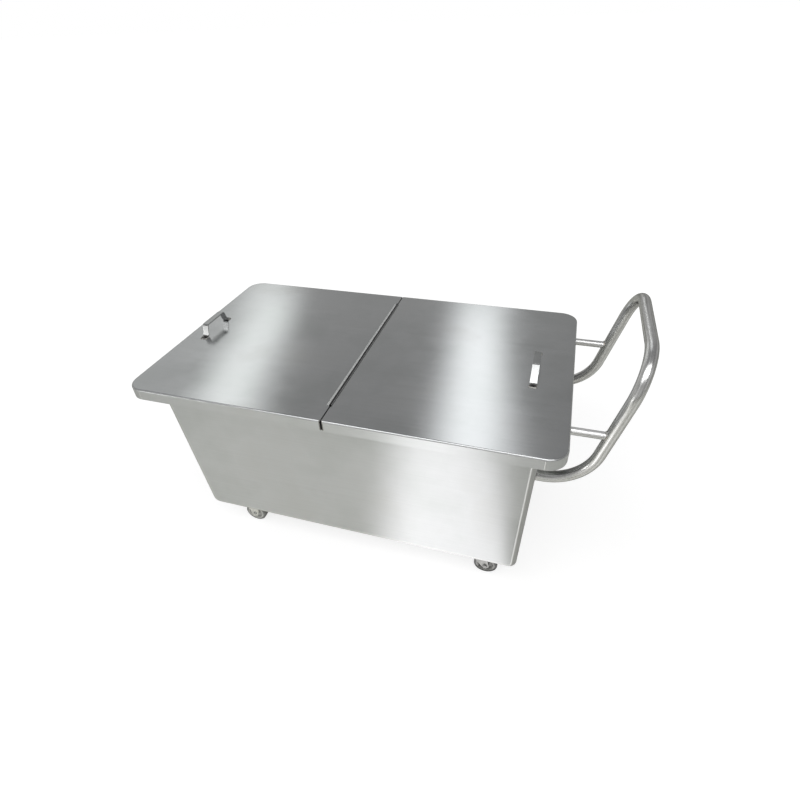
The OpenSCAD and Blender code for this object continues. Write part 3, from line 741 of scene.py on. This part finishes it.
# Studio
def build_floor():
    """A floor that is white to the camera, with the object's shadow, and pale in reflections."""
    bm = bmesh.new()
    bmesh.ops.create_grid(bm, x_segments=1, y_segments=1, size=150.0)
    mesh = bpy.data.meshes.new("floor")
    bm.to_mesh(mesh)
    bm.free()
    floor = bpy.data.objects.new("floor", mesh)
    SCENE.collection.objects.link(floor)
    mat, g = material("pale_floor")
    seen = g.add("LightPath").outputs["Is Camera Ray"]
    plain = g.add("BsdfDiffuse", {"Color": (0.8, 0.8, 0.752, 1)}).outputs[0]
    pale = g.add("BsdfDiffuse", {"Color": (0.34, 0.34, 0.34, 1)}).outputs[0]
    away = g.add("VectorMath", {0: g.coords()}, operation="LENGTH").outputs["Value"]
    level = g.remap(away, 0.8, 3.5, 0.8, 1.0)
    glow = g.add("Emission", {"Color": (1, 1, 1, 1), "Strength": level}).outputs[0]
    white = g.add("AddShader", {0: pale, 1: glow}).outputs[0]
    g.surface(g.add("MixShader", {0: seen, 1: plain, 2: white}).outputs[0])
    mesh.materials.append(mat)


def build_world():
    """White behind the object, and a grey room with a paler foot round it in reflections."""
    world = bpy.data.worlds.new("studio")
    SCENE.world = world
    world.use_nodes = True
    g = Graph(world.node_tree)
    way = g.add("SeparateXYZ", {0: g.add("TexCoord").outputs["Generated"]}).outputs
    room = g.ramp(way["Z"], [(0.0, (0.55, 0.55, 0.54)), (0.3, (0.42, 0.42, 0.415)),
                             (0.6, (0.315, 0.315, 0.315)), (1.0, (0.28, 0.28, 0.285))])
    seen = g.add("LightPath").outputs["Is Camera Ray"]
    colour = g.blend(seen, room, WHITE)
    level = g.math("MAXIMUM", seen, g.remap(way["X"], -0.6, 0.4, 1.0, 0.77))
    g.add("OutputWorld", {"Surface": g.add("Background", {"Color": colour, "Strength": level}).outputs[0]})


def soften(lamp, right_fade, left_fade, end_fade=0.15):
    """Lets a lamp fall off towards its edges; the fades are shares of its width and its length."""
    lamp.use_nodes = True
    g = Graph(lamp.node_tree)
    share = g.add("SeparateXYZ", {0: g.add("NewGeometry").outputs["Parametric"]}).outputs
    right = g.remap(share["X"], 0.0, right_fade, 0.0, 1.0, "SMOOTHSTEP")
    left = g.remap(share["X"], 1.0 - left_fade, 1.0, 1.0, 0.0, "SMOOTHSTEP")
    near = g.remap(share["Y"], 0.0, end_fade, 0.0, 1.0, "SMOOTHSTEP")
    far = g.remap(share["Y"], 1.0 - end_fade, 1.0, 1.0, 0.0, "SMOOTHSTEP")
    level = g.math("MULTIPLY", g.math("MULTIPLY", right, left), g.math("MULTIPLY", near, far))
    light = g.add("Emission", {"Color": (1, 1, 1, 1), "Strength": level}).outputs[0]
    g.add("OutputLight", {"Surface": light})


def area_lamp(name, place, facing, along, size, radiance, tint=WHITE, fades=None):
    """A rectangular softbox of the given radiance; size is its width and its length along a direction."""
    lamp = bpy.data.lights.new(name, "AREA")
    lamp.shape = "RECTANGLE"
    lamp.size, lamp.size_y = size
    lamp.energy = radiance * math.pi * size[0] * size[1]
    lamp.color = tint
    if fades:
        soften(lamp, *fades)
    back = -Vector(facing).normalized()
    up = Vector(along)
    up = (up - back * back.dot(up)).normalized()
    turn = Matrix((up.cross(back), up, back)).transposed().to_4x4()
    obj = bpy.data.objects.new(name, lamp)
    obj.matrix_world = Matrix.Translation(place) @ turn
    obj.visible_camera = False
    SCENE.collection.objects.link(obj)


def build_lamps():
    """Strips overhead for the bands on the cover, cards on the floor for the white patch on the side."""
    down, up, along_x = (0, 0, -1), (0, 0, 1), (1, 0, 0)
    cool, green, white, warm = (0.97, 0.99, 1.0), (0.97, 1.0, 0.985), (0.985, 0.97, 1.0), (1.0, 1.0, 0.95)
    area_lamp("strip_right", (-0.18, 3.1, 3.0), down, (-0.38, 2.7, 0), (1.14, 5.4), 1.3, cool, (0.45, 0.45))
    lean = (-0.66, 2.33, 0)
    area_lamp("strip_left", (-2.92, 3.1, 3.0), down, lean, (1.2, 5.2), 1.12, green, (0.45, 0.45))
    area_lamp("strip_end", (-4.2, 3.1, 3.0), down, lean, (1.6, 4.8), 0.22, green, (0.4, 0.4))
    slant = (0.12, 0.55, 0)
    area_lamp("card_wide", (-0.5, -0.95, 0.02), up, slant, (1.6, 1.8), 0.15, warm, (0.3, 0.25))
    area_lamp("card_main", (0.095, -0.8, 0.024), up, slant, (0.55, 1.36), 1.03, white, (0.12, 0.42))
    area_lamp("card_far", (-0.04, -1.42, 0.028), up, slant, (0.6, 0.7), 0.78, white, (0.1, 0.25))
    area_lamp("nose_card", (-2.75, -2.96, 0.5), (1.0, 1.1, 0), along_x, (0.5, 1.0), 4.0)
    area_lamp("top_box", (0.2, -2.0, 3.6), (-0.2, 2.0, -3.0), along_x, (1.6, 5.0), 3.3)


def build_camera():
    """A camera at the photograph's angle; its place is in metres and its turn in degrees."""
    place = (0.4388, -1.28794, 1.45229)
    turn = (53.17985, 1.99933, 16.83553)
    data = bpy.data.cameras.new("camera")
    data.sensor_width = 36.0
    data.lens = 23.0755
    cam = bpy.data.objects.new("camera", data)
    cam.location = place
    cam.rotation_euler = [math.radians(angle) for angle in turn]
    SCENE.collection.objects.link(cam)
    SCENE.camera = cam


smooth_nodes()
dress_cover()
dress_tub()
dress_casters()
# The bar's colour is lighter than the sheets' steel: painted light.
build_push_bar(satin_tube("bar_tube", (0.96, 0.96, 0.95), rough=0.27, laid=True))
weld_bead = weld_metal("weld_bead")
build_bar_welds(weld_bead)
build_pull_welds(weld_bead)
build_pad_welds(weld_bead)
ground_seam = brushed("ground_seam", "z", (0.72, 0.725, 0.72), rough=0.45, anisotropy=0.6, wave=0.0005)
build_side_seams(ground_seam)
build_lid_seams(ground_seam)
build_hem(ground_seam)
build_floor()
build_world()
build_lamps()
build_camera()
SCENE.view_settings.view_transform = "Standard"
